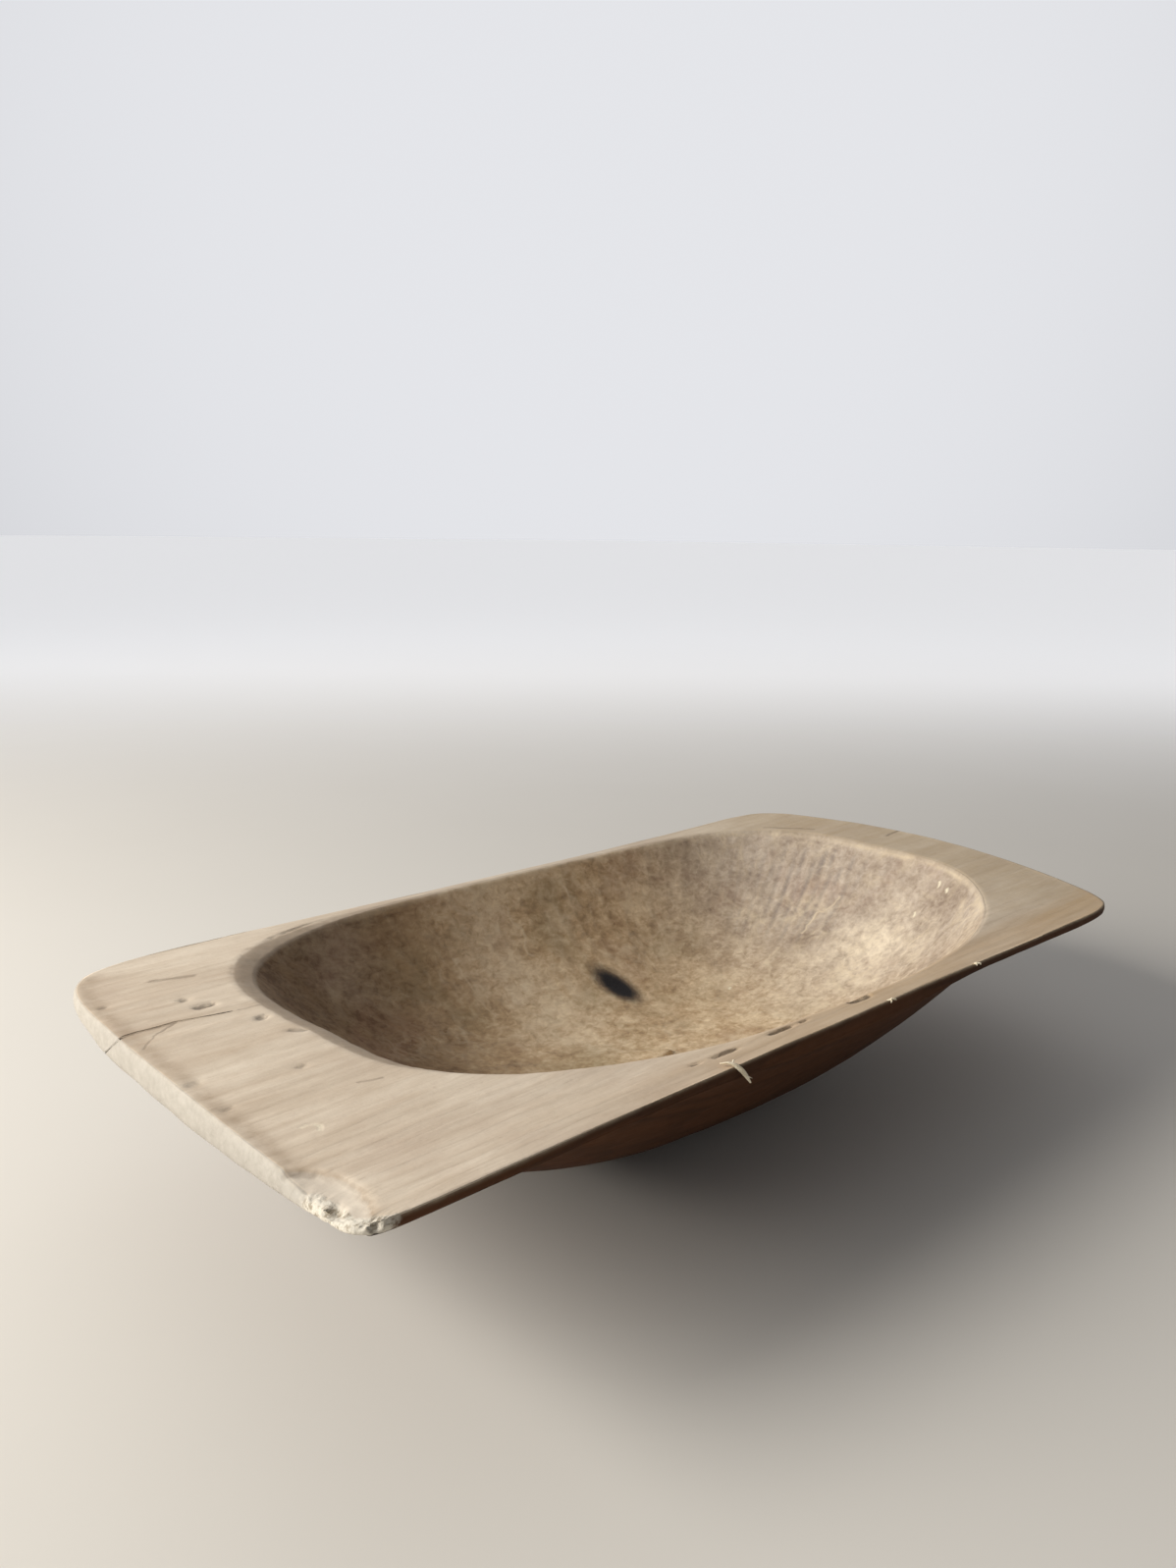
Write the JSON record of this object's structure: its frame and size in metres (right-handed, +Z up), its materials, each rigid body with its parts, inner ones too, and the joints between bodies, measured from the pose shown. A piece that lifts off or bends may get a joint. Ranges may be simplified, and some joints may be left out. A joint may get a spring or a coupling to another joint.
{
  "type": "carved wooden trough bowl",
  "caption": "Long trough-shaped bowl carved from one half log, with an oval hollow and a flat shelf at each end.",
  "frame": {"origin": "under the middle of the bowl, on the surface that it stands on", "axes": "+X along the length towards the bowed end, +Y to the side that the knot is on, +Z up"},
  "size_m": [0.62, 0.3124, 0.1135],
  "materials": {
    "weathered_wood": "unpolished, weathered and handled, with tool marks",
    "dark_knot": "dull, almost black",
    "pale_splinter": "raw torn fibre"
  },
  "bodies": {
    "root": {"bowl_body": "weathered_wood", "floor_knot": "dark_knot", "rim_splinter": "pale_splinter"}
  },
  "joints": []
}
